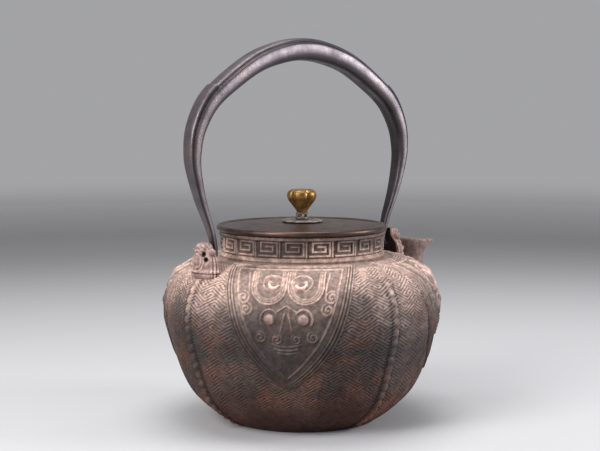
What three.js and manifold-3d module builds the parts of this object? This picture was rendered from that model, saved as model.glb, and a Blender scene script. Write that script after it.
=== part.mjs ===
// A Japanese cast-iron kettle: body, spout, two mask lugs, hollow-looking bail handle and bronze lid.
// Millimetres, +Z up, origin at the centre of the base, spout on +X, handle in the XZ plane.
import * as THREE from 'three';
import { mergeVertices } from 'three/addons/utils/BufferGeometryUtils.js';
import Module from 'manifold-3d';

const wasm = await Module();
wasm.setup();

// Clearances
const fitGap = 0.3;
const turnSteps = 48;
const sideSteps = 18;
const beyondPart = 200;

// Body
const baseRadius = 41.4;
const bellyRadius = 76.8;
const bellyHeight = 64.7;
const shoulderHeight = 91.5;
const wall = 3.2;
const neckFootRadius = 45;
const neckRadius = 46.2;
const neckHeight = 14;
const mouthRadius = 40.5;
const flangeProud = 1.6;
const flangeWidth = 3.4;
const flangeNotches = 15;
const flangeRoot = 2.6;
const flangeBelowShoulder = 20.5;

// Shield panels on the diagonals
const panelProud = 0.9;
const panelHalfWidth = 33;
const panelTopDrop = 1.2;
const panelTipRise = 31;
const panelSteps = 9;
const panelField = 5.5;
const panelFieldSink = 0.5;

// Neck band
const collarProud = 0.9;
const collarTall = 1.2;

// Spout
const spoutPastBelly = 9.2;
const spoutRadius = 6.6;
const spoutBore = 4.6;
const spoutSides = 28;
const spoutRise = 4.5;
const spoutBeak = 15;
const spoutFootDrop = 2;

// Lugs
const lugInsideBelly = 8.2;
const lugDepth = 11.6;
const maskProud = 3.8;
const lugRise = 11.5;
const lugHalfWidth = 10;
const pocketHalfWidth = 4.6;
const maskThickness = 3;

// Handle
const pivotRise = 3.5;
const footBehindMask = 8.1;
const hookReach = 3;
const gripRise = 110.4;
const bowPastFoot = 13.4;
const gripWidth = 13.4;
const gripThickness = 12;
const footWidth = 4;
const footThickness = 3.2;
const handleStations = 48;
const handleSides = 14;

// Lid
const lidRadius = 47.7;
const lidThickness = 2.6;
const lidDome = 1.6;
const lidRoll = 1.5;
const bezelDepth = 7;
const bezelWall = 1.8;
const bezelGap = 0.8;

// Knob
const washerRadius = 11.7;
const washerThickness = 1.4;
const washerPetals = 8;
const stemRadius = 3.3;
const stemHeight = 3.4;
const stemLegs = 6;
const budRadius = 8.4;
const budHeight = 13;
const budLobes = 6;
const shankRadius = 1.5;
const insideWasherRadius = 5;
const rivetRadius = 2.8;

// Places that follow
const flangeTop = shoulderHeight - flangeBelowShoulder;
const spoutReach = bellyRadius + spoutPastBelly;
const spoutHeight = shoulderHeight + spoutRise;
const spoutFoot = bellyHeight - spoutFootDrop;
const lugOuter = bellyRadius - lugInsideBelly;
const lugInner = lugOuter - lugDepth;
const lugTop = shoulderHeight + lugRise;
const pivotHeight = shoulderHeight + pivotRise;
const footReach = lugOuter - footBehindMask;
const gripHeight = pivotHeight + gripRise;
const shoulderReach = footReach + bowPastFoot;
const neckTop = shoulderHeight + neckHeight;
const lidBottom = neckTop + fitGap;
const lidTopCentre = lidBottom + lidThickness + lidDome;

const materials = {
  iron: { color: 0x6e5a52, roughness: 0.9, metalness: 0.5 },
  handleIron: { color: 0x4a4242, roughness: 0.5, metalness: 0.8 },
  bronze: { color: 0x503f3a, roughness: 0.5, metalness: 0.8 },
  brass: { color: 0xa87632, roughness: 0.4, metalness: 0.9 },
  silver: { color: 0x8f8a84, roughness: 0.45, metalness: 0.9 },
};

function toSolid(geometry) {
  const bare = geometry.clone();
  bare.deleteAttribute('normal');
  bare.deleteAttribute('uv');
  const merged = mergeVertices(bare, 1e-4);
  const vertProperties = new Float32Array(merged.attributes.position.array);
  const triVerts = new Uint32Array(merged.index.array);
  return new wasm.Manifold(new wasm.Mesh({ numProp: 3, vertProperties, triVerts }));
}

function toGeometry(solid) {
  const mesh = solid.getMesh();
  const geometry = new THREE.BufferGeometry();
  geometry.setAttribute('position', new THREE.BufferAttribute(new Float32Array(mesh.vertProperties), 3));
  geometry.setIndex(new THREE.BufferAttribute(new Uint32Array(mesh.triVerts), 1));
  geometry.computeVertexNormals();
  return geometry;
}

function lathe(profile, steps = turnSteps) {
  const points = profile.map(([r, z]) => new THREE.Vector2(r, z));
  const geometry = new THREE.LatheGeometry(points, steps);
  geometry.rotateX(Math.PI / 2);
  return geometry;
}

function cylinder(radius, bottom, top, x = 0, y = 0, steps = 24) {
  const geometry = new THREE.CylinderGeometry(radius, radius, top - bottom, steps);
  geometry.rotateX(Math.PI / 2);
  geometry.translate(x, y, (top + bottom) / 2);
  return toSolid(geometry);
}

function block(x0, x1, y0, y1, z0, z1) {
  const geometry = new THREE.BoxGeometry(x1 - x0, y1 - y0, z1 - z0);
  geometry.translate((x0 + x1) / 2, (y0 + y1) / 2, (z0 + z1) / 2);
  return toSolid(geometry);
}

function ball(x, y, z, rx, ry, rz) {
  const geometry = new THREE.SphereGeometry(1, 12, 7);
  geometry.scale(rx, ry, rz);
  geometry.translate(x, y, z);
  return toSolid(geometry);
}

// A closed loft through rings of equal length, with fan caps at both ends.
function loft(rings) {
  const sides = rings[0].length;
  const places = rings.flat().flatMap((p) => [p.x, p.y, p.z]);
  const faces = [];
  for (let i = 0; i + 1 < rings.length; i += 1) {
    for (let k = 0; k < sides; k += 1) {
      const a = i * sides + k;
      const b = i * sides + ((k + 1) % sides);
      faces.push(a, b, b + sides, a, b + sides, a + sides);
    }
  }
  const last = (rings.length - 1) * sides;
  for (let k = 1; k + 1 < sides; k += 1) {
    faces.push(0, k + 1, k);
    faces.push(last, last + k, last + k + 1);
  }
  const geometry = new THREE.BufferGeometry();
  geometry.setAttribute('position', new THREE.Float32BufferAttribute(places, 3));
  geometry.setIndex(faces);
  const solid = toSolid(geometry);
  return solid.volume() > 0 ? solid : toSolid(flipped(geometry));
}

function flipped(geometry) {
  const turned = geometry.clone();
  const index = Array.from(turned.index.array);
  for (let i = 0; i < index.length; i += 3) {
    [index[i], index[i + 1]] = [index[i + 1], index[i]];
  }
  turned.setIndex(index);
  return turned;
}

// The outer side of the body from the base to the shoulder, as radius and height.
function bodySide(offset = 0) {
  const flare = bellyRadius - baseRadius;
  const curve = new THREE.SplineCurve([
    new THREE.Vector2(baseRadius, 0),
    new THREE.Vector2(baseRadius + 0.605 * flare, 0.284 * bellyHeight),
    new THREE.Vector2(baseRadius + 0.915 * flare, 0.723 * bellyHeight),
    new THREE.Vector2(bellyRadius, bellyHeight),
    new THREE.Vector2(bellyRadius - 4.4, bellyHeight + 0.56 * (shoulderHeight - bellyHeight)),
    new THREE.Vector2(bellyRadius - 11.6, bellyHeight + 0.78 * (shoulderHeight - bellyHeight)),
    new THREE.Vector2(bellyRadius - 19.0, bellyHeight + 0.903 * (shoulderHeight - bellyHeight)),
    new THREE.Vector2(neckFootRadius, shoulderHeight),
  ]);
  return curve.getPoints(sideSteps).map((p, i, all) => {
    const before = all[Math.max(0, i - 1)];
    const after = all[Math.min(all.length - 1, i + 1)];
    const along = new THREE.Vector2().subVectors(after, before).normalize();
    return [p.x + along.y * offset, Math.max(0, p.y - along.x * offset)];
  });
}

// The body's outer form as one filled turning, grown by the given gap.
function bodyForm(offset) {
  const side = bodySide(offset);
  const top = [neckFootRadius + offset, neckTop + offset];
  return toSolid(lathe([[0, -offset], [side[0][0], -offset], ...side, top, [0, neckTop + offset]]));
}

// Everything up to the given height, which a piece on the shoulder leaves free for the flange below it.
function below(height) {
  return block(-beyondPart, beyondPart, -beyondPart, beyondPart, -beyondPart, height + fitGap);
}

function flange(turn, top) {
  const side = bodySide().filter(([, z]) => z < top);
  const rings = [];
  const steps = flangeNotches * 2;
  for (let i = 0; i <= steps; i += 1) {
    const at = (i / steps) * (side.length - 1);
    const low = Math.min(Math.floor(at), side.length - 2);
    const t = at - low;
    const r = side[low][0] * (1 - t) + side[low + 1][0] * t;
    const z = side[low][1] * (1 - t) + side[low + 1][1] * t;
    const proud = i % 2 ? flangeProud : flangeProud * 0.4;
    const half = (flangeWidth / 2) * (i % 2 ? 1 : 0.8);
    rings.push([
      new THREE.Vector3(r - flangeRoot, -half, z),
      new THREE.Vector3(r + proud, -half * 0.5, z),
      new THREE.Vector3(r + proud, half * 0.5, z),
      new THREE.Vector3(r - flangeRoot, half, z),
    ]);
  }
  return loft(rings).rotate([0, 0, turn]);
}

// A shield outline on the body's side, wide at the shoulder and pointed below, inset by the given margin.
function shield(margin) {
  const top = shoulderHeight - panelTopDrop - margin * 0.3;
  const tip = panelTipRise + margin * 1.7;
  const shape = new THREE.Shape();
  const half = (t) => (panelHalfWidth - margin) * Math.pow(1 - Math.pow(t, 2.2), 0.8);
  shape.moveTo(half(0), top);
  for (const sign of [1, -1]) {
    for (let i = 1; i <= panelSteps; i += 1) {
      const t = sign > 0 ? i / panelSteps : 1 - i / panelSteps;
      shape.lineTo(sign * half(t), top + (tip - top) * t);
    }
  }
  const geometry = new THREE.ExtrudeGeometry(shape, { depth: beyondPart, bevelEnabled: false });
  geometry.rotateX(Math.PI / 2);
  geometry.rotateZ(Math.PI / 2);
  return toSolid(geometry);
}

// A raised border in the form of a shield, with a slightly lower field inside it.
function panel(turn) {
  const under = bodyForm(-1.4);
  const border = bodyForm(panelProud).intersect(shield(0));
  const field = bodyForm(panelProud + 2).subtract(bodyForm(panelProud - panelFieldSink)).intersect(shield(panelField));
  const neckRoom = cylinder(neckFootRadius + 2, -1, beyondPart, 0, 0, turnSteps);
  return border.subtract(field).subtract(under).subtract(neckRoom).rotate([0, 0, turn]);
}

function kettleBody() {
  const side = bodySide();
  const inside = bodySide(-wall).filter(([r, z]) => z > wall + 1 && r > mouthRadius + 1);
  const shell = lathe([
    [0, 0],
    ...side,
    [neckFootRadius + collarProud, shoulderHeight + 0.8],
    [neckFootRadius + collarProud, shoulderHeight + 0.8 + collarTall],
    [neckFootRadius, shoulderHeight + 2.4],
    [neckFootRadius, neckTop - collarTall - 1],
    [neckRadius, neckTop - 2],
    [neckRadius, neckTop],
    [mouthRadius, neckTop],
    [mouthRadius, shoulderHeight - wall],
    ...inside.reverse(),
    [baseRadius - 1, wall],
    [0, wall],
  ]);
  let solid = toSolid(shell);
  for (const turn of [0, 90, 180, 270]) {
    solid = solid.add(panel(turn + 45));
    solid = solid.add(flange(turn, turn ? flangeTop : spoutFoot));
  }
  return solid.subtract(spoutPassage());
}

// Level rings along the spout's leaning axis, from inside the shoulder to the lip.
function spoutLoft(stations) {
  const rings = stations.map(([x, z, radius]) => {
    const ring = [];
    for (let k = 0; k < spoutSides; k += 1) {
      const a = (k / spoutSides) * 2 * Math.PI;
      ring.push(new THREE.Vector3(x + radius * Math.cos(a), radius * Math.sin(a), z));
    }
    return ring;
  });
  return loft(rings);
}

function spoutPassage() {
  return spoutLoft([
    [spoutReach - 19, spoutFoot - 1, spoutBore],
    [spoutReach - 12, spoutFoot + 7, spoutBore],
    [spoutReach - 5, spoutHeight - 18, spoutBore - 0.2],
    [spoutReach - 1.4, spoutHeight - 11, spoutBore - 0.4],
    [spoutReach, spoutHeight - 5, spoutBore],
    [spoutReach, spoutHeight + 5, spoutBore + 2.8],
  ]);
}

function spout() {
  const tube = spoutLoft([
    [spoutReach - 18, spoutFoot + 1, spoutRadius + 3.2],
    [spoutReach - 10.5, spoutFoot + 7, spoutRadius + 2.4],
    [spoutReach - 4, spoutHeight - 18, spoutRadius + 1.2],
    [spoutReach - 1, spoutHeight - 11.5, spoutRadius],
    [spoutReach, spoutHeight - 6, spoutRadius - 0.3],
    [spoutReach, spoutHeight - 2.5, spoutRadius + 0.3],
    [spoutReach, spoutHeight, spoutRadius + 1.3],
  ]);
  const beak = [0, 0.5, 1].map((t) => {
    const half = spoutRadius * (1 - 0.75 * t);
    const x = spoutReach + spoutBeak * t;
    const low = spoutHeight - 9 * (1 - t) - 1.6;
    const top = spoutHeight + 1.5 * t;
    return [
      new THREE.Vector3(x, -half, top),
      new THREE.Vector3(x, -half * 0.7, low),
      new THREE.Vector3(x, half * 0.7, low),
      new THREE.Vector3(x, half, top),
    ];
  });
  const channelHalf = 1.8;
  const beyond = spoutReach + spoutBeak + 3;
  const channel = block(spoutReach, beyond, -channelHalf, channelHalf, spoutHeight - 1.6, spoutHeight + 5);
  const besideLug = block(0, lugOuter + maskProud + fitGap, -20, 20, bellyHeight, lugTop + 10);
  return tube
    .add(loft(beak))
    .subtract(spoutPassage())
    .subtract(channel)
    .subtract(besideLug)
    .subtract(bodyForm(fitGap))
    .subtract(below(spoutFoot));
}

// A small beast-mask hood with a slot behind its face for the handle's hooked foot.
function lug(sign) {
  const outline = new THREE.Shape();
  outline.moveTo(lugInner, shoulderHeight - 14);
  outline.lineTo(lugOuter, shoulderHeight - 18);
  outline.quadraticCurveTo(lugOuter + 3, shoulderHeight - 4, lugOuter - 2, lugTop - 5);
  outline.quadraticCurveTo(lugOuter - 6, lugTop + 1, lugInner + 4, lugTop);
  outline.quadraticCurveTo(lugInner, lugTop - 2, lugInner, shoulderHeight - 14);
  const depth = 2 * lugHalfWidth - 4;
  const bevel = { bevelEnabled: true, bevelThickness: 2, bevelSize: 1.4, bevelSegments: 2, curveSegments: 6 };
  const hood = new THREE.ExtrudeGeometry(outline, { depth, ...bevel });
  hood.translate(0, 0, -depth / 2);
  hood.rotateX(Math.PI / 2);
  let solid = toSolid(hood);
  for (const side of [-1, 1]) {
    solid = solid.add(ball(lugOuter - 3, side * 6.6, lugTop - 2.5, 4.4, 3, 3));
    solid = solid.add(ball(lugOuter + 0.5, side * 4.4, shoulderHeight + 3.6, 2.4, 3, 2.6));
    solid = solid.subtract(ball(lugOuter + 2.6, side * 4.2, shoulderHeight + 4, 1.8, 1.3, 1.3));
  }
  solid = solid.add(ball(lugOuter + 0.8, 0, shoulderHeight - 1.2, 3, 3.4, 2.4));
  const pocketTo = lugOuter - maskThickness;
  const pocket = block(lugInner - 5, pocketTo, -pocketHalfWidth, pocketHalfWidth, shoulderHeight - 20, lugTop + 5);
  const cut = solid.subtract(pocket).subtract(bodyForm(fitGap)).subtract(below(flangeTop));
  return sign > 0 ? cut : cut.rotate([0, 0, 180]);
}

// The bail's centre line from one hooked foot over the grip to the other.
function handlePath() {
  const half = [
    [footReach + hookReach, pivotHeight - 0.6],
    [footReach + 0.4, pivotHeight - 0.4],
    [footReach, pivotHeight + 5],
    [footReach + 2.7, pivotHeight + 15],
    [footReach + 8.5, pivotHeight + 30],
    [shoulderReach - 0.8, gripHeight - 66],
    [shoulderReach, gripHeight - 55.5],
    [shoulderReach - 2.3, gripHeight - 43],
    [shoulderReach - 10.4, gripHeight - 29],
    [shoulderReach - 24.5, gripHeight - 17.5],
    [shoulderReach - 42, gripHeight - 7],
    [shoulderReach - 60, gripHeight - 1.3],
  ];
  const right = half.map(([x, z]) => new THREE.Vector3(x, 0, z));
  const left = half.map(([x, z]) => new THREE.Vector3(-x, 0, z)).reverse();
  return new THREE.CatmullRomCurve3([...right, ...left], false, 'centripetal');
}

function handle() {
  const path = handlePath();
  const rings = [];
  for (let i = 0; i <= handleStations; i += 1) {
    const t = i / handleStations;
    const centre = path.getPointAt(t);
    const along = path.getTangentAt(t);
    const out = new THREE.Vector3(along.z, 0, -along.x);
    const fromEnd = Math.min(t, 1 - t) * 2;
    const grow = THREE.MathUtils.smoothstep(fromEnd, 0.04, 0.72);
    const width = THREE.MathUtils.lerp(footWidth, gripWidth, Math.sqrt(grow));
    const thick = THREE.MathUtils.lerp(footThickness, gripThickness, grow);
    const ring = [];
    for (let k = 0; k < handleSides; k += 1) {
      const a = (k / handleSides) * 2 * Math.PI;
      const c = Math.cos(a);
      const s = Math.sin(a);
      const square = 1 / Math.pow(Math.pow(Math.abs(c), 3) + Math.pow(Math.abs(s), 3), 1 / 3);
      const p = centre.clone();
      p.addScaledVector(out, (thick / 2) * c * square);
      p.y += (width / 2) * s * square;
      ring.push(p);
    }
    rings.push(ring);
  }
  return loft(rings);
}

function lidPlate() {
  const profile = [
    [shankRadius + fitGap, lidBottom],
    [lidRadius - 1, lidBottom],
    [lidRadius, lidBottom + lidRoll * 0.7],
    [lidRadius - 0.4, lidBottom + lidThickness],
    [lidRadius - 2, lidBottom + lidThickness + 0.5],
    [lidRadius - 3.6, lidBottom + lidThickness - 0.3],
    [lidRadius * 0.6, lidTopCentre - 0.6],
    [washerRadius + 2, lidTopCentre],
    [shankRadius + fitGap, lidTopCentre],
    [shankRadius + fitGap, lidBottom],
  ];
  return toSolid(lathe(profile));
}

function lidBezel() {
  const outer = mouthRadius - bezelGap;
  const top = lidBottom - fitGap;
  return toSolid(lathe([
    [outer - bezelWall, top],
    [outer - bezelWall, top - bezelDepth],
    [outer, top - bezelDepth],
    [outer, top],
    [outer - bezelWall, top],
  ]));
}

function knobWasher() {
  const bottom = lidTopCentre + fitGap;
  const shape = new THREE.Shape();
  const points = [];
  const count = washerPetals * 8;
  for (let i = 0; i < count; i += 1) {
    const a = (i / count) * 2 * Math.PI;
    const r = washerRadius - 1.1 * Math.abs(Math.sin((washerPetals * a) / 2 + Math.PI / 2) < 0.35 ? 1 : 0);
    points.push(new THREE.Vector2(r * Math.cos(a), r * Math.sin(a)));
  }
  shape.setFromPoints(points);
  const hole = new THREE.Path();
  hole.absarc(0, 0, shankRadius + fitGap, 0, 2 * Math.PI, true);
  shape.holes.push(hole);
  const geometry = new THREE.ExtrudeGeometry(shape, { depth: washerThickness, bevelEnabled: false });
  geometry.translate(0, 0, bottom);
  return toSolid(geometry);
}

function knobStem() {
  const bottom = lidTopCentre + washerThickness + 2 * fitGap;
  let solid = cylinder(stemRadius + 0.6, bottom, bottom + 0.9);
  solid = solid.add(cylinder(stemRadius, bottom + stemHeight - 0.9, bottom + stemHeight));
  for (let i = 0; i < stemLegs; i += 1) {
    const a = (i / stemLegs) * 2 * Math.PI;
    const x = (stemRadius - 0.7) * Math.cos(a);
    const y = (stemRadius - 0.7) * Math.sin(a);
    solid = solid.add(cylinder(0.6, bottom, bottom + stemHeight, x, y, 8));
  }
  return solid.subtract(cylinder(shankRadius + fitGap, bottom - 1, bottom + stemHeight + 1));
}

function knobBud() {
  const bottom = lidTopCentre + washerThickness + stemHeight + 3 * fitGap;
  const profile = new THREE.SplineCurve([
    new THREE.Vector2(stemRadius, 0),
    new THREE.Vector2(budRadius * 0.55, budHeight * 0.3),
    new THREE.Vector2(budRadius, budHeight * 0.68),
    new THREE.Vector2(budRadius * 0.85, budHeight * 0.9),
    new THREE.Vector2(budRadius * 0.3, budHeight),
  ]);
  const rings = profile.getPoints(9).map((p) => {
    const ring = [];
    for (let k = 0; k < budLobes * 6; k += 1) {
      const a = (k / (budLobes * 6)) * 2 * Math.PI;
      const r = p.x * (0.88 + 0.12 * Math.sqrt(Math.abs(Math.cos((budLobes * a) / 2))));
      ring.push(new THREE.Vector3(r * Math.cos(a), r * Math.sin(a), bottom + p.y));
    }
    return ring;
  });
  return loft(rings).subtract(cylinder(shankRadius + fitGap, bottom - 1, bottom + budHeight * 0.5));
}

function insideWasher() {
  const top = lidBottom - fitGap;
  const hole = cylinder(shankRadius + fitGap, top - 3, top + 1);
  return cylinder(insideWasherRadius, top - 1.2, top).subtract(hole);
}

function knobRivet() {
  const top = lidTopCentre + washerThickness + stemHeight + budHeight * 0.5 + 2 * fitGap;
  const washerBottom = lidBottom - fitGap - 1.2;
  const head = cylinder(rivetRadius, washerBottom - fitGap - 1.5, washerBottom - fitGap);
  return head.add(cylinder(shankRadius, washerBottom - fitGap - 1, top));
}

const pieces = [
  ['kettle_body', kettleBody(), materials.iron],
  ['spout', spout(), materials.iron],
  ['lug_front', lug(1), materials.iron],
  ['lug_back', lug(-1), materials.iron],
  ['handle', handle(), materials.handleIron],
  ['lid_plate', lidPlate(), materials.bronze],
  ['lid_bezel', lidBezel(), materials.bronze],
  ['knob_washer', knobWasher(), materials.silver],
  ['knob_stem', knobStem(), materials.silver],
  ['knob_bud', knobBud(), materials.brass],
  ['lid_inside_washer', insideWasher(), materials.bronze],
  ['knob_rivet', knobRivet(), materials.brass],
];

const kettle = new THREE.Group();
for (const [name, solid, look] of pieces) {
  const mesh = new THREE.Mesh(toGeometry(solid), new THREE.MeshStandardMaterial(look));
  mesh.name = name;
  kettle.add(mesh);
}

export default kettle;
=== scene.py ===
"""The looks of a Japanese cast-iron kettle: a relief-carved iron body, forged bail and bronze lid.

Shapes are worked out in millimetres and placed in metres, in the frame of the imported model.
"""

import math

import bmesh
import bpy
import numpy as np
from mathutils import Matrix, Vector


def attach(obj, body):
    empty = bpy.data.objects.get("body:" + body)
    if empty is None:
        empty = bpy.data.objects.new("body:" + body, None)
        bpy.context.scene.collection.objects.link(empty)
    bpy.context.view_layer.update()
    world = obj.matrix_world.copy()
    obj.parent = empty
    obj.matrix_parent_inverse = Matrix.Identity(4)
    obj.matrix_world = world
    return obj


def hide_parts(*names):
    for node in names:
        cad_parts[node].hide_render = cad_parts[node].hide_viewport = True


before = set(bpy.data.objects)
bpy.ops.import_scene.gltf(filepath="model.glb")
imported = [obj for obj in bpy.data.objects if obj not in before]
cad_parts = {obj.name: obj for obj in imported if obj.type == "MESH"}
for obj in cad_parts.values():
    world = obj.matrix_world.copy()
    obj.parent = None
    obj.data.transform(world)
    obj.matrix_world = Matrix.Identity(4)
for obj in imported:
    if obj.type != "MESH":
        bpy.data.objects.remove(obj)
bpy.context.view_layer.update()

MM = 0.001

# The photograph's frame and the camera
IMAGE_WIDTH = 600
AXIS_PIXEL_X = 302
CENTRE_HEIGHT = 108.0
MM_PER_PIXEL = 0.5595
CAMERA_DISTANCE = 800.0
CAMERA_AZIMUTH = math.radians(-39.0)
CAMERA_RISE = math.radians(5.4)
SENSOR = 36.0

# The studio's even light
WORLD_COLOUR = (0.80, 0.80, 0.83)
WORLD_STRENGTH = 0.46

# Body, in millimetres
BASE_RADIUS = 41.4
BELLY_RADIUS = 76.8
BELLY_HEIGHT = 64.7
SHOULDER_HEIGHT = 91.5
NECK_FOOT_RADIUS = 45.0
NECK_RADIUS = 46.2
NECK_TOP = 105.5
MOUTH_RADIUS = 40.5
WALL = 3.2
ROUND_STEPS = 1120
SIDE_STEPS = 290
NECK_STEPS = 64

# Relief
LOBE_DEPTH = 0.9
FLANGE_PROUD = 1.5
FLANGE_HALF = 1.35
FLANGE_PITCH = 5.2
FLANGE_TOP = 84.0
WEAVE_CELLS = 64
WEAVE_TALL = 5.6
WEAVE_PITCH = 1.5
WEAVE_DEPTH = 0.7
PANEL_TOP = 90.4
PANEL_TIP = 28.5
PANEL_HALF = 35.0
PANEL_PROUD = 0.9
PANEL_LINE_PITCH = 1.5
FRET_UNITS = 20
FRET_LOW = 95.3
FRET_HIGH = 103.1
FRET_PROUD = 0.75

# Spout
SPOUT_REACH = 86.0
SPOUT_TOP = 96.0
SPOUT_BEAK = 7.4

# Handle
FOOT_REACH = 60.5
HOOK_REACH = 3.0
PIVOT_HEIGHT = 95.0
GRIP_HEIGHT = 206.4
SHOULDER_REACH = 73.9
GRIP_WIDTH = 13.4
GRIP_THICKNESS = 12.0
FOOT_WIDTH = 4.0
FOOT_THICKNESS = 3.2

# Lid and knob
LID_RADIUS = 47.7
LID_BOTTOM = 105.8
LID_TOP = 110.0
BUD_RADIUS = 8.4
BUD_LOBES = 5
STEM_BOTTOM = 112.0
BUD_BOTTOM = 115.7


def smooth(low, high, value):
    t = np.clip((value - low) / (high - low), 0.0, 1.0)
    return t * t * (3.0 - 2.0 * t)


def spline(points, per_span):
    """A uniform Catmull-Rom curve through the points."""
    p = np.array(points, float)
    p = np.vstack([p[0], p, p[-1]])
    out = []
    for i in range(1, len(p) - 2):
        a, b, c, d = p[i - 1], p[i], p[i + 1], p[i + 2]
        for t in np.linspace(0.0, 1.0, per_span, endpoint=False):
            v0, v1 = (c - a) * 0.5, (d - b) * 0.5
            cubic = 2 * b - 2 * c + v0 + v1
            square = -3 * b + 3 * c - 2 * v0 - v1
            out.append(cubic * t**3 + square * t**2 + v0 * t + b)
    out.append(p[-2])
    return np.array(out)


def evenly(points, count):
    """count points at equal steps along a line of points."""
    gaps = np.linalg.norm(np.diff(points, axis=0), axis=1)
    along = np.concatenate([[0.0], np.cumsum(gaps)])
    at = np.linspace(0.0, along[-1], count)
    return np.stack([np.interp(at, along, points[:, k]) for k in range(points.shape[1])], axis=1), at


def new_object(name, places, faces, body, material, replaced=()):
    mesh = bpy.data.meshes.new(name)
    mesh.from_pydata((np.asarray(places) * MM).tolist(), [], [list(f) for f in faces])
    mesh.polygons.foreach_set("use_smooth", np.ones(len(mesh.polygons), bool))
    mesh.update()
    obj = bpy.data.objects.new(name, mesh)
    bpy.context.scene.collection.objects.link(obj)
    obj.data.materials.append(material)
    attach(obj, body)
    if replaced:
        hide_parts(*replaced)
    return obj


def grid_faces(rows, columns, first=0):
    """Quads between rings of equal length, closed round."""
    i = np.arange(rows - 1)[:, None] * columns
    k = np.arange(columns)[None, :]
    after = (k + 1) % columns
    quads = np.stack([i + k, i + after, i + columns + after, i + columns + k], axis=-1)
    return (quads.reshape(-1, 4) + first).tolist()


def body_side():
    return spline([
        (BASE_RADIUS, 0.0), (BASE_RADIUS + 21.4, 18.4), (BELLY_RADIUS - 3.0, BELLY_HEIGHT - 17.9),
        (BELLY_RADIUS, BELLY_HEIGHT), (BELLY_RADIUS - 4.4, BELLY_HEIGHT + 15),
        (BELLY_RADIUS - 11.6, SHOULDER_HEIGHT - 5.9), (BELLY_RADIUS - 19.0, SHOULDER_HEIGHT - 2.6),
        (NECK_FOOT_RADIUS, SHOULDER_HEIGHT),
    ], 30)


def spiral_ridge(u, v, cu, cv, radius, pitch, hand):
    """A scroll of even pitch that winds into its centre."""
    du, dv = (u - cu) * hand, v - cv
    r = np.hypot(du, dv)
    turn = np.arctan2(dv, du) / (2.0 * math.pi)
    wave = 0.5 + 0.5 * np.cos(2.0 * math.pi * (r / pitch - turn))
    return wave * smooth(radius + 0.4, radius - 0.4, r)


def ridge(distance, half):
    """A rounded ridge along the places where the distance is nought."""
    return smooth(half, half * 0.3, np.abs(distance))


def mask_relief(u, down):
    """A generic beast mask: two U-shaped horns that end in hooks, small scrolls, boss eyes and a mouth."""
    relief = np.zeros_like(u)
    for hand in (-1.0, 1.0):
        side = u * hand
        above = down < 21.5
        horn = np.where(above, np.abs(side - 9.6), np.hypot(side - 9.6, down - 21.5))
        arms = smooth(8.0, 10.5, down) * smooth(3.0, 1.5, side - 19.0)
        for radius, strength in ((9.0, 1.0), (7.7, 0.55), (6.6, 0.55)):
            relief = np.maximum(relief, strength * ridge(horn - radius, 0.62) * arms)
        hook = np.hypot(side - 7.4, down - 18.5)
        hook_ends = smooth(24.0, 21.0, down) * smooth(13.6, 12.0, side)
        relief = np.maximum(relief, ridge(hook - 5.4, 0.6) * hook_ends)
        curl = np.hypot(side - 7.0, down - 19.6)
        curl_half = smooth(-0.6, 0.6, down - 18.6 + 0.6 * (side - 7.0))
        relief = np.maximum(relief, 1.3 * ridge(curl - 2.6, 1.1) * curl_half)
        for place, drop, radius, pitch in (
            (23.0, 27.4, 3.6, 2.2), (21.2, 33.4, 3.4, 2.1), (13.6, 47.4, 3.0, 1.9), (5.0, 48.4, 2.6, 1.8),
        ):
            relief = np.maximum(relief, spiral_ridge(u, down, hand * place, drop, radius, pitch, hand))
        stem = ridge(side - 19.6 - 0.1 * (27.0 - down), 0.6)
        relief = np.maximum(relief, 0.8 * stem * smooth(9.0, 12.0, down) * smooth(27.0, 24.0, down))
        eye = np.hypot(side - 8.8, down - 38.2)
        relief = np.maximum(relief, 1.9 * np.sqrt(np.clip(1.0 - (eye / 2.9) ** 2, 0.0, 1.0)))
        lid = ridge(np.hypot(side - 8.8, (down - 38.2) * 0.9) - 4.6, 0.6)
        relief = np.maximum(relief, lid * smooth(-1.0, 0.6, (side - 8.8) * 0.8 - (down - 38.2)))
        brow = ridge(down - 31.2 - 0.62 * side, 0.55) * smooth(5.8, 4.8, side) * smooth(-0.4, 0.0, side)
        relief = np.maximum(relief, brow)
        nose = ridge(side - 1.2 - 0.22 * (down - 36.0), 0.55)
        relief = np.maximum(relief, 0.8 * nose * smooth(34.0, 36.0, down) * smooth(45.5, 44.0, down))
    for drop, half in ((52.6, 7.0), (54.6, 5.6), (56.4, 4.0)):
        line = ridge(down - drop + 0.03 * u**2, 0.6)
        relief = np.maximum(relief, 0.8 * line * smooth(half + 1.0, half, np.abs(u)))
    return relief


def panel_relief(u, along, span):
    """How far a shield panel stands out, where it covers the ground, and its painted shade and highlight.
    """
    top, tip = span
    down = top - along
    share = np.clip(down / (top - tip), 0.0, 1.0)
    half = PANEL_HALF * (1.0 - share**3.0) ** 0.9
    slope = np.clip(share * 1.3, 0.0, 1.0)
    edge = np.minimum((half - np.abs(u)) * (1.0 - 0.30 * slope), np.minimum(down, (top - tip) - down + 2.0))
    inside = smooth(-0.3, 0.5, edge)
    lines = 0.5 + 0.5 * np.cos(2.0 * math.pi * (edge / PANEL_LINE_PITCH - 0.35))
    border = smooth(0.0, 0.3, edge) * smooth(4.7, 4.3, edge)
    rim = ridge(edge - 6.9, 0.6)
    field = smooth(7.2, 7.9, edge)
    motif = np.maximum(mask_relief(u, down) * field, 0.8 * rim)
    # Painted highlight on the raised motif and on the border's ridges, painted shade in the border's
    # grooves and on the bare field.
    shade = 0.42 + border * (lines * 0.60 - 0.34) + motif * 0.45 - 0.10 * field * (motif < 0.05)
    return inside, PANEL_PROUD * inside + 0.55 * lines * border + 0.85 * motif, shade


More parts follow.
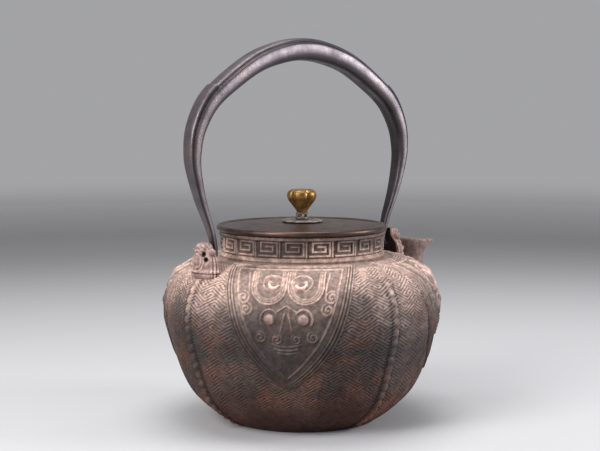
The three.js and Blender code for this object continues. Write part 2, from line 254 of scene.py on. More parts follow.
def weave_relief(theta, along):
    """A ground of short slanting ridges in cells that lean left and right by turns."""
    cell = theta / (2.0 * math.pi) * WEAVE_CELLS
    row = along / WEAVE_TALL
    shifted = cell + 0.5 * (np.floor(row) % 2)
    lean = np.where((np.floor(shifted) + np.floor(row)) % 2 < 1, 1.0, -1.0)
    across = (shifted - np.floor(shifted) - 0.5) * 2.0 * math.pi * 70.0 / WEAVE_CELLS
    up = (row - np.floor(row) - 0.5) * WEAVE_TALL
    wave = 0.5 + 0.5 * np.cos(2.0 * math.pi * (up * 0.86 + lean * across * 0.5) / WEAVE_PITCH)
    ends = smooth(4.5, 3.8, np.abs(across))
    return WEAVE_DEPTH * (0.25 + 0.75 * wave**0.6 * (0.35 + 0.65 * ends))


def fret_relief(theta, z):
    """A key-fret band: one square spiral to a unit, with double bars between."""
    unit = theta / (2.0 * math.pi) * FRET_UNITS
    wide = 2.0 * math.pi * NECK_FOOT_RADIUS / FRET_UNITS
    tall = FRET_HIGH - FRET_LOW
    p = (unit - np.floor(unit)) * wide
    q = (z - FRET_LOW)
    corners = [
        (0.14, 0.04), (0.90, 0.04), (0.90, 0.96), (0.24, 0.96), (0.24, 0.34),
        (0.72, 0.34), (0.72, 0.68), (0.45, 0.68),
    ]
    corners = [(a * wide, b * tall) for a, b in corners]
    strokes = list(zip(corners, corners[1:]))
    strokes += [((0.0, 0.0), (0.0, tall)), ((wide, 0.0), (wide, tall))]
    near = np.full_like(p, 99.0)
    for (x0, y0), (x1, y1) in strokes:
        dx = np.maximum(np.maximum(min(x0, x1) - p, p - max(x0, x1)), 0.0)
        dy = np.maximum(np.maximum(min(y0, y1) - q, q - max(y0, y1)), 0.0)
        near = np.minimum(near, np.maximum(dx, dy))
    band = smooth(FRET_LOW - 0.9, FRET_LOW - 0.4, z) * smooth(FRET_HIGH + 0.9, FRET_HIGH + 0.4, z)
    return FRET_PROUD * smooth(0.62, 0.38, near) * band


def make_body(material):
    side, along = evenly(body_side(), SIDE_STEPS)
    neck = np.array([
        (NECK_FOOT_RADIUS - 0.2, SHOULDER_HEIGHT + 0.2), (NECK_FOOT_RADIUS + 0.9, SHOULDER_HEIGHT + 0.9),
        (NECK_FOOT_RADIUS + 0.9, SHOULDER_HEIGHT + 1.9), (NECK_FOOT_RADIUS, SHOULDER_HEIGHT + 2.3),
        (NECK_FOOT_RADIUS, NECK_TOP - 2.4), (NECK_RADIUS, NECK_TOP - 1.9), (NECK_RADIUS, NECK_TOP - 0.3),
        (NECK_RADIUS - 0.4, NECK_TOP),
    ])
    neck, _ = evenly(neck, NECK_STEPS)
    profile = np.vstack([side, neck])
    theta = np.linspace(0.0, 2.0 * math.pi, ROUND_STEPS, endpoint=False)
    radius = profile[:, 0][:, None]
    z = np.repeat(profile[:, 1][:, None], ROUND_STEPS, axis=1)
    turn = np.repeat(theta[None, :], len(profile), axis=0)
    run = np.concatenate([along, np.full(len(neck), along[-1] + 5.0)])[:, None]
    run = np.repeat(run, ROUND_STEPS, axis=1)
    on_side = np.repeat((np.arange(len(profile)) < SIDE_STEPS)[:, None], ROUND_STEPS, axis=1)

    quarter = (turn + math.pi / 4.0) % (math.pi / 2.0) - math.pi / 4.0
    from_flange = quarter * radius
    from_panel = ((turn % (math.pi / 2.0)) - math.pi / 4.0) * radius
    span = (np.interp(-PANEL_TOP, -side[::-1, 1], along[::-1]), np.interp(PANEL_TIP, side[:, 1], along))

    inside, panel, panel_shade = panel_relief(from_panel, run, span)
    fade = smooth(0.0, 6.0, z) * smooth(90.6, 88.6, z)
    ground = weave_relief(turn, run) * (1.0 - inside) * fade
    beads = 0.25 + 0.75 * np.abs(np.sin(math.pi * run / FLANGE_PITCH)) ** 0.7
    lower = smooth(70.0, 45.0, z)
    rib = np.exp(-((from_flange / (FLANGE_HALF * (1.0 + 0.5 * lower) * (0.60 + 0.40 * beads))) ** 4))
    rib = rib * smooth(FLANGE_TOP + 3.0, FLANGE_TOP - 5.0, z) * smooth(0.0, 4.0, z)
    plain = np.maximum(panel, ground)
    height = plain * (1.0 - rib) + FLANGE_PROUD * (1.0 + 0.3 * lower) * beads * rib
    height = np.where(on_side, height, fret_relief(turn, z))
    corner = 1.0 - 2.0 * np.abs(np.sin(2.0 * turn)) ** 0.8
    lobes = LOBE_DEPTH * corner * smooth(0.0, 14.0, z) * smooth(92.0, 62.0, z)

    before = np.vstack([profile[:1], profile[:-1]])
    after = np.vstack([profile[1:], profile[-1:]])
    tangent = after - before
    tangent /= np.maximum(np.linalg.norm(tangent, axis=1)[:, None], 1e-9)
    tangent[SIDE_STEPS:] = (0.0, 1.0)
    r = radius + tangent[:, 1][:, None] * (height + lobes)
    z = np.maximum(z - tangent[:, 0][:, None] * (height + lobes), 0.0)
    outer = np.stack([r * np.cos(turn), r * np.sin(turn), z], axis=-1).reshape(-1, 3)

    inner_side = body_side()[::12]
    inner = [(MOUTH_RADIUS, NECK_TOP), (MOUTH_RADIUS, SHOULDER_HEIGHT - WALL)]
    inner += [(p[0] - WALL, p[1] - 1.0) for p in inner_side[::-1] if p[0] > MOUTH_RADIUS + 5 and p[1] > 5]
    inner += [(BASE_RADIUS - 2.0, WALL), (2.0, WALL)]
    rings = [[(a * math.cos(t), a * math.sin(t), b) for t in theta] for a, b in inner]
    places = np.vstack([outer, np.array(rings).reshape(-1, 3)])
    rows = len(profile) + len(inner)
    faces = grid_faces(rows, ROUND_STEPS)
    last = (rows - 1) * ROUND_STEPS
    faces.append(list(range(last, last + ROUND_STEPS)))
    faces.append(list(range(ROUND_STEPS - 1, -1, -1)))
    obj = new_object("body_shell", places, faces, "kettle", material, ["kettle_body"])
    # Painted shade and highlight, kept in the relief attribute: the panel's motif and border ridges
    # lighter, its grooves and bare field darker; the ground's weave darker in its grooves and lighter on
    # its ridges.
    shade = np.where(inside > 0.5, panel_shade, -0.12 + 0.95 * ground / WEAVE_DEPTH + 0.5 * (1.0 - fade))
    # Painted shadow along both sides of each rib, deeper towards the foot, then painted highlight on the
    # rib's bead tops and painted shade between them.
    rib_side_painted_shadow = np.exp(-((np.abs(from_flange) - 2.5) ** 2)) * smooth(FLANGE_TOP + 3.0, FLANGE_TOP - 5.0, z)
    shade = (shade - (0.30 + 0.25 * lower) * rib_side_painted_shadow) * (1.0 - rib) + (0.10 + 0.85 * beads) * rib
    # Painted shade in the fret's recesses, painted highlight on its raised keys.
    shade = np.where(on_side, shade, 0.16 + 0.55 * height / FRET_PROUD)
    on_moulding = ~on_side & ((z < FRET_LOW - 0.9) | (z > FRET_HIGH + 0.9))
    shade = np.where(on_moulding, 0.6, shade)
    # The relief attribute carries this painted shade and highlight; the inner wall gets one flat, darker
    # value.
    relief = np.full(len(places), 0.3)
    relief[: len(outer)] = np.clip(shade.reshape(-1), 0.0, 1.0)
    painted_light_attr = obj.data.attributes.new("relief", "FLOAT", "POINT")
    painted_light_attr.data.foreach_set("value", relief.astype(np.float32))
    return obj


def circle(radius, z, steps):
    """Evenly spaced places on a level circle round the axis."""
    turns = [2 * math.pi * k / steps for k in range(steps)]
    return [(radius * math.cos(a), radius * math.sin(a), z) for a in turns]


def revolve(name, profile, body, material, replaced=(), steps=160, wobble=None):
    rings = []
    for r, z in profile:
        ring = []
        for k in range(steps):
            a = 2.0 * math.pi * k / steps
            rr = r * (wobble(a, z) if wobble else 1.0)
            ring.append((rr * math.cos(a), rr * math.sin(a), z))
        rings.append(ring)
    places = np.array(rings).reshape(-1, 3)
    faces = grid_faces(len(profile), steps)
    last = (len(profile) - 1) * steps
    faces.append(list(range(last, last + steps)))
    faces.append(list(range(steps - 1, -1, -1)))
    return new_object(name, places, faces, body, material, replaced)


def handle_line():
    half = [
        (FOOT_REACH + HOOK_REACH, PIVOT_HEIGHT - 0.6), (FOOT_REACH + 0.4, PIVOT_HEIGHT - 0.4),
        (FOOT_REACH, PIVOT_HEIGHT + 5), (FOOT_REACH + 2.7, PIVOT_HEIGHT + 15),
        (FOOT_REACH + 8.5, PIVOT_HEIGHT + 30), (SHOULDER_REACH - 0.8, GRIP_HEIGHT - 66),
        (SHOULDER_REACH, GRIP_HEIGHT - 55.5), (SHOULDER_REACH - 2.3, GRIP_HEIGHT - 43),
        (SHOULDER_REACH - 10.4, GRIP_HEIGHT - 29), (SHOULDER_REACH - 24.5, GRIP_HEIGHT - 17.5),
        (SHOULDER_REACH - 42, GRIP_HEIGHT - 7.2), (SHOULDER_REACH - 60, GRIP_HEIGHT - 1.7),
    ]
    whole = half + [(0.0, GRIP_HEIGHT - 0.3)] + [(-x, z) for x, z in reversed(half)]
    return evenly(spline(whole, 16), 340)


def make_handle(material):
    """A forged bail, wide at the grip, with an edge line along its sides and a raised band on its back."""
    line, along = handle_line()
    total = along[-1]
    sides = 64
    rings, shades = [], []
    for i, (x, z) in enumerate(line):
        a, b = line[max(0, i - 1)], line[min(len(line) - 1, i + 1)]
        tangent = (b - a) / np.linalg.norm(b - a)
        outward = np.array([tangent[1], -tangent[0]])
        share = min(along[i], total - along[i]) / total * 2.0
        grow = float(smooth(0.04, 0.72, share))
        width = FOOT_WIDTH + (GRIP_WIDTH - FOOT_WIDTH) * math.sqrt(grow)
        thick = FOOT_THICKNESS + (GRIP_THICKNESS - FOOT_THICKNESS) * grow
        thick *= 1.0 + 0.14 * float(smooth(0.66, 1.0, share))
        band = float(smooth(0.60, 0.612, share))
        ring = []
        for k in range(sides):
            t = 2.0 * math.pi * k / sides
            c, s = math.cos(t), math.sin(t)
            square = (abs(c) ** 3 + abs(s) ** 3) ** (-1.0 / 3.0)
            groove = 0.65 * grow * math.exp(-(((abs(s) - 0.80) / 0.10) ** 2)) * (1.0 if c > 0 else 0.0)
            hollow = 0.7 * grow * math.exp(-((s / 0.45) ** 2)) if c < 0 else 0.0
            step = -0.9 * band * grow * (1.0 if c > 0.6 else 0.0)
            reach = thick / 2.0 * c * square + hollow + step - groove
            px, pz = x + outward[0] * reach, z + outward[1] * reach
            ring.append((px, (width / 2.0 - groove) * s * square, pz))
            # Painted highlight along the side, painted shade in the edge grooves and on the inner face,
            # kept in the relief attribute.
            painted_side_highlight = 0.40 * math.exp(-(((c - 0.10) / 0.30) ** 2))
            painted_groove_shade = 0.50 * math.exp(-(((abs(s) - 0.80) / 0.12) ** 2)) * (1.0 if c > 0 else 0.0)
            shades.append(0.52 + painted_side_highlight - painted_groove_shade - 0.36 * float(smooth(-0.25, -0.75, c)))
        rings.append(ring)
    places = np.array(rings).reshape(-1, 3)
    faces = grid_faces(len(rings), sides)
    last = (len(rings) - 1) * sides
    faces.append(list(range(last, last + sides)))
    faces.append(list(range(sides - 1, -1, -1)))
    obj = new_object("bail_forged", places, faces, "bail", material, ["handle"])
    painted_light_attr = obj.data.attributes.new("relief", "FLOAT", "POINT")
    painted_light_attr.data.foreach_set("value", np.array(shades, dtype=np.float32))
    return obj


def blob(bm, centre, size, tilt=0.0):
    """An ellipsoid added to a mesh under construction."""
    turned = Matrix.Rotation(tilt, 4, "Y") @ Matrix.Diagonal((*size, 1.0))
    place = Matrix.Translation(Vector(centre)) @ turned
    bmesh.ops.create_uvsphere(bm, u_segments=24, v_segments=14, radius=1.0, matrix=place)


def remeshed(obj, voxel, smoothing):
    """The object's overlapping forms as one closed skin."""
    mod = obj.modifiers.new("skin", "REMESH")
    mod.mode = "VOXEL"
    mod.voxel_size = voxel * MM
    soft = obj.modifiers.new("soft", "SMOOTH")
    soft.iterations = smoothing
    soft.factor = 0.5
    graph = bpy.context.evaluated_depsgraph_get()
    mesh = bpy.data.meshes.new_from_object(obj.evaluated_get(graph))
    obj.modifiers.clear()
    obj.data = mesh
    mesh.polygons.foreach_set("use_smooth", np.ones(len(mesh.polygons), bool))
    return obj


def mask_plate():
    """The mask's hollow iron shell, rounded at the front and open behind, as rings from brow to chin."""
    stations = spline([
        # height, open back, front, half width
        (102.9, 65.2, 67.6, 2.2), (102.2, 64.6, 69.5, 3.6), (100.6, 64.2, 70.7, 4.4),
        (98.6, 64.0, 71.4, 5.2), (96.8, 64.0, 71.8, 6.8), (94.6, 64.0, 72.0, 8.8),
        (91.5, 64.0, 72.2, 10.1), (87.0, 64.0, 72.5, 10.5), (85.2, 64.0, 72.1, 10.4),
        (84.0, 64.0, 70.6, 10.0), (82.0, 64.0, 68.8, 9.4),
    ], 3)
    turns = np.linspace(-math.pi / 2.0, math.pi / 2.0, 25)
    rings = []
    for z, back, front, half in stations:
        depth = front - back
        face = [(back + depth * math.cos(a) ** 0.85, half * math.sin(a), z) for a in turns]
        hollow = max(0.2, depth - 2.6)
        inside = [(back + hollow * math.cos(a) ** 0.85, (half - 1.8) * math.sin(a), z) for a in turns]
        rings.append(face + inside[::-1])
    places = np.array(rings).reshape(-1, 3)
    count = 2 * len(turns)
    faces = grid_faces(len(rings), count)
    last = (len(rings) - 1) * count
    faces.append(list(range(last, last + count)))
    faces.append(list(range(count - 1, -1, -1)))
    return places, faces


def make_lug(name, sign, node, material):
    """A small beast mask: domed head, brow, cheeks, ears and snout on a hollow shell."""
    bm = bmesh.new()
    places, faces = mask_plate()
    corners = [bm.verts.new(p) for p in places]
    for face in faces:
        bm.faces.new([corners[i] for i in face])
    bmesh.ops.recalc_face_normals(bm, faces=bm.faces)
    blob(bm, (68.4, 0, 100.2), (2.8, 4.1, 2.9))
    blob(bm, (72.2, 0, 93.4), (1.5, 2.5, 2.1))
    for s in (-1, 1):
        blob(bm, (66.4, s * 6.4, 98.0), (2.3, 1.9, 2.2), 0.3)
        blob(bm, (70.4, s * 2.4, 99.2), (1.3, 2.0, 0.8))
        blob(bm, (69.9, s * 6.0, 91.2), (1.9, 2.0, 1.9))
        blob(bm, (72.4, s * 1.5, 90.2), (1.0, 0.9, 1.1))
    mesh = bpy.data.meshes.new(name)
    bm.to_mesh(mesh)
    bm.free()
    places = np.array([v.co[:] for v in mesh.vertices])
    faces = [list(p.vertices) for p in mesh.polygons]
    obj = remeshed(new_object(name, places, faces, "kettle", material, [node]), 0.28, 2)
    carve_mask(obj.data, sign)
    return obj


def carve_mask(mesh, sign):
    """Eye and nostril holes, wrinkles, teeth and a combed mane; then the mask turns to its side."""
    flat = np.empty(len(mesh.vertices) * 3)
    mesh.vertices.foreach_get("co", flat)
    p = flat.reshape(-1, 3) / MM
    normals = np.empty(len(mesh.vertices) * 3)
    mesh.vertices.foreach_get("normal", normals)
    normals = normals.reshape(-1, 3)
    turn = np.arctan2(p[:, 1], p[:, 0] - 64.0)
    outward = np.stack([np.cos(turn), np.sin(turn), np.zeros(len(p))], axis=-1)
    facing = (normals * outward).sum(axis=1)
    outside = smooth(0.15, 0.45, facing) * smooth(64.0, 65.5, p[:, 0])
    hollow = smooth(-0.1, -0.4, facing)
    across, z = np.abs(turn) * 9.0, p[:, 2]
    cut = np.zeros(len(p))
    for place, height, radius in ((5.4, 97.0, 1.15), (7.2, 94.4, 1.0)):
        cut -= 2.4 * np.exp(-((np.hypot(across - place, z - height) / radius) ** 4))
    snout = np.hypot(across, z - 93.4)
    cut += 0.26 * np.cos(2.0 * math.pi * snout / 1.9) * smooth(2.6, 3.4, snout) * smooth(7.4, 6.0, snout)
    row = smooth(0.9, 0.5, np.abs(z - 88.0))
    cut += 0.5 * row * (0.35 + 0.65 * np.sin(math.pi * across / 1.5) ** 2)
    cut -= 0.35 * smooth(0.5, 0.2, np.abs(z - 86.8))
    cut += 0.30 * np.sin(2.0 * math.pi * across / 1.6) * smooth(9.4, 10.4, across) * smooth(97.0, 95.0, z)
    cut += 0.16 * np.sin(z * 2.6 + across * 1.7) * smooth(98.0, 99.0, z)
    p += outward * (cut * outside)[:, None]
    if sign < 0:
        p[:, :2] *= -1.0
    mesh.vertices.foreach_set("co", (p * MM).reshape(-1))
    # Painted shade in the eye and nostril holes and other cuts, painted highlight on the raised wrinkles,
    # teeth and mane, and painted dark shade inside the hollow shell.
    painted_light_attr = mesh.attributes.new("relief", "FLOAT", "POINT")
    shade = np.clip(0.44 + 0.75 * cut * outside, 0.0, 1.0) * (1.0 - hollow)
    painted_light_attr.data.foreach_set("value", shade.astype(np.float32))
    mesh.update()


def make_spout(material):
    """A short leaning spout with a beak-shaped lip."""
    sides = 72
    reach, foot = SPOUT_REACH, BELLY_HEIGHT - 2.0
    stations = spline([
        (reach - 19, foot - 2, 9.8), (reach - 11, foot + 5, 9.2), (reach - 4, SPOUT_TOP - 18, 7.8),
        (reach - 1, SPOUT_TOP - 11.5, 6.4), (reach - 0.2, SPOUT_TOP - 8, 6.4), (reach, SPOUT_TOP - 5, 7.4),
        (reach, SPOUT_TOP - 2.4, 8.2), (reach, SPOUT_TOP, 8.3),
    ], 6)
    rings = []
    inner = [
        (reach, SPOUT_TOP + 0.1, 7.4), (reach, SPOUT_TOP - 1, 6.6), (reach, SPOUT_TOP - 4, 5.2),
        (reach - 1, SPOUT_TOP - 11, 4.4), (reach - 5, SPOUT_TOP - 18, 4.2), (reach - 12, foot + 9, 3.8),
    ]
    for n, (x, z, radius) in enumerate(evenly(stations, 30)[0].tolist() + inner):
        lip = float(smooth(SPOUT_TOP - 8.5, SPOUT_TOP, z))
        ring = []
        for k in range(sides):
            a = 2.0 * math.pi * k / sides
            beak = max(0.0, math.cos(a)) ** 5 * lip * (SPOUT_BEAK if n < 30 else SPOUT_BEAK - 1.0)
            narrow = 1.0 - 0.30 * max(0.0, math.cos(a)) ** 2 * lip
            droop = 0.8 * lip * (1.0 - math.cos(a - math.pi)) + 0.10 * beak
            ring.append((x + radius * math.cos(a) + beak, radius * math.sin(a) * narrow, z - droop * 0.9))
        rings.append(ring)
    places = np.array(rings).reshape(-1, 3)
    faces = grid_faces(len(rings), sides)
    last = (len(rings) - 1) * sides
    faces.append(list(range(last, last + sides)))
    faces.append(list(range(sides - 1, -1, -1)))
    return new_object("spout_cast", places, faces, "kettle", material, ["spout"])


def make_lid(material):
    shaft = 1.8
    profile = [(shaft, LID_BOTTOM), (30.0, LID_BOTTOM), (LID_RADIUS - 2.2, LID_BOTTOM)]
    for k in range(13):
        a = math.radians(-90.0 + 205.0 * k / 12)
        profile.append((LID_RADIUS - 1.5 + 1.5 * math.cos(a), LID_BOTTOM + 1.6 + 1.6 * math.sin(a)))
    profile += [(LID_RADIUS - 3.4, LID_BOTTOM + 2.3), (LID_RADIUS - 5.0, LID_BOTTOM + 2.5)]
    for k in range(1, 12):
        t = k / 11.0
        r = (LID_RADIUS - 5.0) * (1.0 - t) + 12.0 * t
        profile.append((r, LID_BOTTOM + 2.5 + 1.6 * math.sin(t * math.pi / 2.0)))
    profile.append((shaft, LID_TOP))
    return revolve("lid_cast", profile, "lid", material, ["lid_plate"], 200)


def make_bezel(material):
    """The ring under the lid that drops into the mouth."""
    outer, inner, top, low = 39.7, 37.9, 105.5, 98.5
    profile = [
        (inner, top), (outer, top), (outer, low + 0.4),
        (outer - 0.4, low), (inner + 0.3, low), (inner, low + 0.4),
    ]
    steps = 160
    rings = [circle(r, z, steps) for r, z in profile + profile[:1]]
    places = np.array(rings).reshape(-1, 3)
    faces = grid_faces(len(rings), steps)
    return new_object("lid_drop_ring", places, faces, "lid", material, ["lid_bezel"])


def make_bud(material):
    """The knob: a closed brass bud with petals."""
    shape = spline([
        (2.9, 0.0), (3.6, 1.4), (5.6, 4.0), (7.7, 6.8),
        (BUD_RADIUS, 9.2), (7.8, 11.4), (5.6, 12.6), (2.2, 12.8),
    ], 8)
    profile = [(r, BUD_BOTTOM + z) for r, z in shape]

    def petals(a, z):
        return 0.86 + 0.14 * abs(math.cos(BUD_LOBES * a / 2.0)) ** 0.35

    return revolve("knob_bud_petals", profile, "lid", material, ["knob_bud"], 192, petals)


def make_washer(material):
    """The flower-shaped seat under the knob."""
    profile = [
        (1.8, 110.3), (11.2, 110.3), (11.7, 110.7), (11.4, 111.3), (9.6, 111.7), (6.0, 111.5), (1.8, 111.7),
    ]

    def petals(a, z):
        return 0.90 + 0.10 * abs(math.cos(4.0 * a)) ** 0.5 * (1.0 - 0.25 * math.sin(3.0 * a))

    return revolve("knob_flower_seat", profile, "lid", material, ["knob_washer"], 192, petals)


def make_stem(material):
    """Small legs between two rings, with daylight between them."""
    bm = bmesh.new()
    ring_tall = 0.9
    for low, radius in ((STEM_BOTTOM, 3.9), (STEM_BOTTOM + 2.5, 3.5)):
        place = Matrix.Translation((0, 0, low + ring_tall / 2.0))
        made = bmesh.ops.create_cone(bm, cap_ends=True, segments=48, radius1=radius, radius2=radius,
                                     depth=ring_tall, matrix=place)
        edges = {e for v in made["verts"] for e in v.link_edges}
        edges = {e for e in edges if abs(e.verts[0].co.z - e.verts[1].co.z) < 1e-6}
        bmesh.ops.bevel(bm, geom=list(edges), offset=0.2, segments=2, affect="EDGES")
    for k in range(6):
        a = 2.0 * math.pi * k / 6
        blob(bm, (2.9 * math.cos(a), 2.9 * math.sin(a), STEM_BOTTOM + 1.7), (0.65, 0.65, 1.5))
    mesh = bpy.data.meshes.new("stem")
    bm.to_mesh(mesh)
    bm.free()
    places = [v.co[:] for v in mesh.vertices]
    faces = [list(p.vertices) for p in mesh.polygons]
    return new_object("knob_stem_legs", places, faces, "lid", material, ["knob_stem"])


class Nodes:
    """A short way to build one material's node tree."""

    def __init__(self, name):
        self.material = bpy.data.materials.new(name)
        self.material.use_nodes = True
        self.tree = self.material.node_tree
        self.shader = self.tree.nodes["Principled BSDF"]
        self.place = self.add("ShaderNodeTexCoord").outputs["Object"]

    def add(self, kind, **values):
        node = self.tree.nodes.new(kind)
        for key, value in values.items():
            setattr(node, key, value)
        return node

    def link(self, a, b):
        self.tree.links.new(a, b)

    def noise(self, scale, detail=6.0, rough=0.6):
        node = self.add("ShaderNodeTexNoise")
        node.inputs["Scale"].default_value = scale
        node.inputs["Detail"].default_value = detail
        node.inputs["Roughness"].default_value = rough
        self.link(self.place, node.inputs["Vector"])
        return node.outputs["Fac"]

    def ramp(self, factor, stops):
        node = self.add("ShaderNodeValToRGB")
        ramp = node.color_ramp
        while len(ramp.elements) < len(stops):
            ramp.elements.new(0.5)
        for element, (at, colour) in zip(ramp.elements, stops):
            element.position = at
            element.color = (*colour, 1.0)
        self.link(factor, node.inputs["Fac"])
        return node.outputs["Color"]

    def mix(self, factor, a, b, how="MIX"):
        node = self.add("ShaderNodeMix", data_type="RGBA", blend_type=how)
        for socket, value in ((node.inputs[0], factor), (node.inputs[6], a), (node.inputs[7], b)):
            if isinstance(value, bpy.types.NodeSocket):
                self.link(value, socket)
            elif isinstance(value, tuple):
                socket.default_value = (*value, 1.0)
            else:
                socket.default_value = value
        return node.outputs[2]

    def bump(self, height, strength, distance):
        node = self.add("ShaderNodeBump")
        node.inputs["Strength"].default_value = strength
        node.inputs["Distance"].default_value = distance * MM
        self.link(height, node.inputs["Height"])
        self.link(node.outputs["Normal"], self.shader.inputs["Normal"])

    def range(self, value, low, high, to_low, to_high):
        node = self.add("ShaderNodeMapRange")
        for key, number in (("From Min", low), ("From Max", high), ("To Min", to_low), ("To Max", to_high)):
            node.inputs[key].default_value = number
        self.link(value, node.inputs["Value"])
        return node.outputs["Result"]


def iron_material(name, carved, even=None):
    """Rust-browned cast iron: pale and dusty on the shoulder, red at the foot, with painted shade in the
    recesses and painted highlight on the ridges.

    A small piece gives a pair of tones in even, and keeps them at every height.
    """
    n = Nodes(name)
    split = n.add("ShaderNodeSeparateXYZ")
    n.link(n.place, split.inputs[0])
    coarse = n.noise(28.0, 5.0)
    uneven = n.add("ShaderNodeMath", operation="MULTIPLY_ADD")
    n.link(coarse, uneven.inputs[0])
    uneven.inputs[1].default_value = 0.05
    n.link(split.outputs["Z"], uneven.inputs[2])
    height = n.range(uneven.outputs[0], 0.025, 0.135, 0.0, 1.0)
    tone = n.ramp(height, [
        (0.0, (0.042, 0.014, 0.009)), (0.14, (0.044, 0.018, 0.013)), (0.32, (0.024, 0.016, 0.014)),
        (0.47, (0.028, 0.022, 0.021)), (0.60, (0.085, 0.066, 0.062)), (0.72, (0.300, 0.225, 0.200)),
        (0.83, (0.420, 0.312, 0.270)), (0.91, (0.110, 0.078, 0.070)), (1.0, (0.095, 0.066, 0.060)),
    ])
    if even:
        tone = n.ramp(coarse, [(0.3, even[0]), (0.7, even[1])])
    blotch = n.ramp(n.noise(60.0, 7.0), [(0.46, (0.0, 0.0, 0.0)), (0.66, (1.0, 1.0, 1.0))])
    rusty = n.add("ShaderNodeMath", operation="MULTIPLY")
    n.link(blotch, rusty.inputs[0])
    n.link(n.range(height, 0.1, 0.8, 0.75, 0.12), rusty.inputs[1])
    tone = n.mix(rusty.outputs[0], tone, (0.125, 0.040, 0.020))
    dusty = n.ramp(n.noise(34.0, 6.0), [(0.46, (0.0, 0.0, 0.0)), (0.74, (0.20, 0.20, 0.20))])
    tone = n.mix(dusty, tone, (0.230, 0.170, 0.152))
    speck = n.ramp(n.noise(420.0, 4.0), [(0.42, (0.55, 0.52, 0.50)), (0.60, (1.15, 1.12, 1.10))])
    tone = n.mix(0.8, tone, speck, "MULTIPLY")
    # Painted shade and highlight: the relief attribute darkens recesses and holes and lightens ridges.
    if carved:
        painted_light_attr = n.add("ShaderNodeAttribute", attribute_name="relief")
        relief_shade_and_highlight = n.ramp(painted_light_attr.outputs["Fac"], [
            (0.0, (0.05, 0.04, 0.04)), (0.16, (0.28, 0.26, 0.25)),
            (0.42, (0.88, 0.87, 0.86)), (1.0, (2.10, 2.02, 1.96)),
        ])
        tone = n.mix(0.9, tone, relief_shade_and_highlight, "MULTIPLY")
    n.link(tone, n.shader.inputs["Base Color"])
    n.shader.inputs["Metallic"].default_value = 0.25
    n.link(n.range(n.noise(180.0), 0.3, 0.7, 0.56, 0.84), n.shader.inputs["Roughness"])
    n.bump(n.noise(900.0, 6.0, 0.7), 0.7, 0.35)
    return n.material


def bail_material():
    n = Nodes("forged_iron")
    tone = n.ramp(n.noise(55.0, 8.0), [
        (0.30, (0.060, 0.050, 0.054)), (0.55, (0.115, 0.100, 0.108)), (0.78, (0.150, 0.112, 0.104)),
    ])
    # Painted highlight and shade from the relief attribute: lighter along the sides, darker in the grooves
    # and on the inner face.
    painted_light_attr = n.add("ShaderNodeAttribute", attribute_name="relief")
    painted_highlight_and_shade = n.ramp(painted_light_attr.outputs["Fac"], [
        (0.0, (0.12, 0.11, 0.11)), (0.5, (0.85, 0.83, 0.84)), (0.92, (1.75, 1.72, 1.76)),
    ])
    tone = n.mix(1.0, tone, painted_highlight_and_shade, "MULTIPLY")
    n.link(tone, n.shader.inputs["Base Color"])
    n.shader.inputs["Metallic"].default_value = 0.7
    n.link(n.range(n.noise(160.0, 8.0), 0.3, 0.7, 0.30, 0.52), n.shader.inputs["Roughness"])
    n.bump(n.noise(420.0, 8.0, 0.7), 0.55, 0.25)
    return n.material


def metal_material(name, dark, light, metallic, rough, scale):
    n = Nodes(name)
    n.link(n.ramp(n.noise(scale, 8.0), [(0.32, dark), (0.68, light)]), n.shader.inputs["Base Color"])
    n.shader.inputs["Metallic"].default_value = metallic
    n.link(n.range(n.noise(scale * 3.0), 0.3, 0.7, rough - 0.08, rough + 0.1), n.shader.inputs["Roughness"])
    n.bump(n.noise(scale * 8.0), 0.25, 0.12)
    return n.material


def area_light(name, place, aim, size, power, colour):
    lamp = bpy.data.lights.new(name, "AREA")
    lamp.shape = "RECTANGLE"
    lamp.size, lamp.size_y = size
    lamp.energy = power
    lamp.color = colour
    obj = bpy.data.objects.new(name, lamp)
    obj.location = place
    obj.rotation_euler = (Vector(aim) - Vector(place)).to_track_quat("-Z", "Y").to_euler()
    bpy.context.scene.collection.objects.link(obj)


def floor_material():
    """A pale floor that turns into an evenly lit backdrop of the world's own tone."""
    n = Nodes("pale_floor")
    n.shader.inputs["Base Color"].default_value = (0.40, 0.40, 0.41, 1.0)
    n.shader.inputs["Roughness"].default_value = 0.9
    glow = n.add("ShaderNodeEmission")
    glow.inputs["Color"].default_value = (*WORLD_COLOUR, 1.0)
    glow.inputs["Strength"].default_value = WORLD_STRENGTH
    reach = n.add("ShaderNodeVectorMath", operation="LENGTH")
    n.link(n.place, reach.inputs[0])
    share = n.add("ShaderNodeMapRange", interpolation_type="SMOOTHSTEP")
    share.inputs["From Min"].default_value = 0.5
    share.inputs["From Max"].default_value = 2.2
    n.link(reach.outputs["Value"], share.inputs["Value"])
    both = n.add("ShaderNodeMixShader")
    n.link(share.outputs["Result"], both.inputs[0])
    n.link(n.shader.outputs[0], both.inputs[1])
    n.link(glow.outputs[0], both.inputs[2])
    n.link(both.outputs[0], n.tree.nodes["Material Output"].inputs["Surface"])
    return n.material


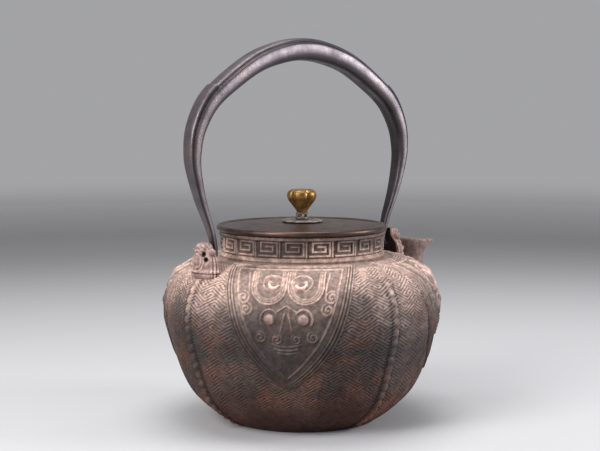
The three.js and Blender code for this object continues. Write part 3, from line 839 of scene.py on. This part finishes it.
def studio():
    """A round floor that curves up into a backdrop, in metres, with an even world and three soft lamps."""
    steps = 96
    flat, bend = 2.2, 1.2
    outline = [(0.0, 0.0), (flat, 0.0)]
    for a in np.linspace(0.15, math.pi / 2.0, 14):
        outline.append((flat + bend * math.sin(a), bend - bend * math.cos(a)))
    outline.append((flat + bend, 4.0))
    places, faces = [(0.0, 0.0, 0.0)], []
    for r, z in outline[1:]:
        places += circle(r, z, steps)
    faces += [(0, 1 + k, 1 + (k + 1) % steps) for k in range(steps)]
    faces += grid_faces(len(outline) - 1, steps, 1)
    mesh = bpy.data.meshes.new("floor")
    mesh.from_pydata(places, [], faces)
    mesh.polygons.foreach_set("use_smooth", np.ones(len(mesh.polygons), bool))
    floor = bpy.data.objects.new("floor", mesh)
    bpy.context.scene.collection.objects.link(floor)
    floor.data.materials.append(floor_material())
    world = bpy.data.worlds.new("studio")
    bpy.context.scene.world = world
    world.use_nodes = True
    world.node_tree.nodes["Background"].inputs["Color"].default_value = (*WORLD_COLOUR, 1.0)
    world.node_tree.nodes["Background"].inputs["Strength"].default_value = WORLD_STRENGTH
    aim = (0, 0, 0.1)
    area_light("key_left", (-0.95, -0.10, 0.62), aim, (0.5, 0.7), 15, (1.0, 0.98, 0.97))
    area_light("fill_right", (0.78, -0.72, 0.42), aim, (0.4, 0.6), 11, (0.98, 0.98, 1.0))
    area_light("top", (0.0, 0.05, 1.1), aim, (0.7, 0.7), 11, (1.0, 1.0, 1.0))


def camera():
    back = Vector((
        math.sin(CAMERA_AZIMUTH) * math.cos(CAMERA_RISE),
        -math.cos(CAMERA_AZIMUTH) * math.cos(CAMERA_RISE),
        math.sin(CAMERA_RISE),
    ))
    centre = Vector((0, 0, CENTRE_HEIGHT * MM))
    data = bpy.data.cameras.new("camera")
    data.sensor_width = SENSOR
    data.lens = CAMERA_DISTANCE / MM_PER_PIXEL * SENSOR / IMAGE_WIDTH
    data.shift_x = -(AXIS_PIXEL_X - IMAGE_WIDTH / 2) / IMAGE_WIDTH
    obj = bpy.data.objects.new("camera", data)
    obj.location = centre + back * CAMERA_DISTANCE * MM
    obj.rotation_euler = back.to_track_quat("Z", "Y").to_euler()
    bpy.context.scene.collection.objects.link(obj)
    bpy.context.scene.camera = obj


def dress_kept_nodes(bronze, brass):
    """CAD nodes under the lid keep their shape and get a finish."""
    for node, material in (("lid_inside_washer", bronze), ("knob_rivet", brass)):
        obj = bpy.data.objects[node]
        obj.data.materials.clear()
        obj.data.materials.append(material)


carved_iron = iron_material("carved_iron", True)
mask_iron = iron_material("mask_iron", True, ((0.300, 0.205, 0.190), (0.400, 0.290, 0.265)))
spout_iron = iron_material("spout_iron", False, ((0.135, 0.092, 0.084), (0.230, 0.168, 0.150)))
forged = bail_material()
bronze = metal_material("brown_bronze", (0.036, 0.022, 0.018), (0.092, 0.056, 0.044), 0.75, 0.38, 70.0)
brass = metal_material("aged_brass", (0.085, 0.040, 0.014), (0.420, 0.250, 0.080), 0.9, 0.38, 210.0)
silver = metal_material("dull_silver", (0.090, 0.075, 0.066), (0.300, 0.265, 0.240), 0.8, 0.50, 330.0)

make_body(carved_iron)
make_handle(forged)
make_lug("mask_lug_front", 1, "lug_front", mask_iron)
make_lug("mask_lug_back", -1, "lug_back", mask_iron)
make_spout(spout_iron)
make_lid(bronze)
make_bezel(bronze)
make_bud(brass)
make_washer(silver)
make_stem(silver)
dress_kept_nodes(bronze, brass)
studio()
camera()
bpy.context.scene.view_settings.view_transform = "Standard"
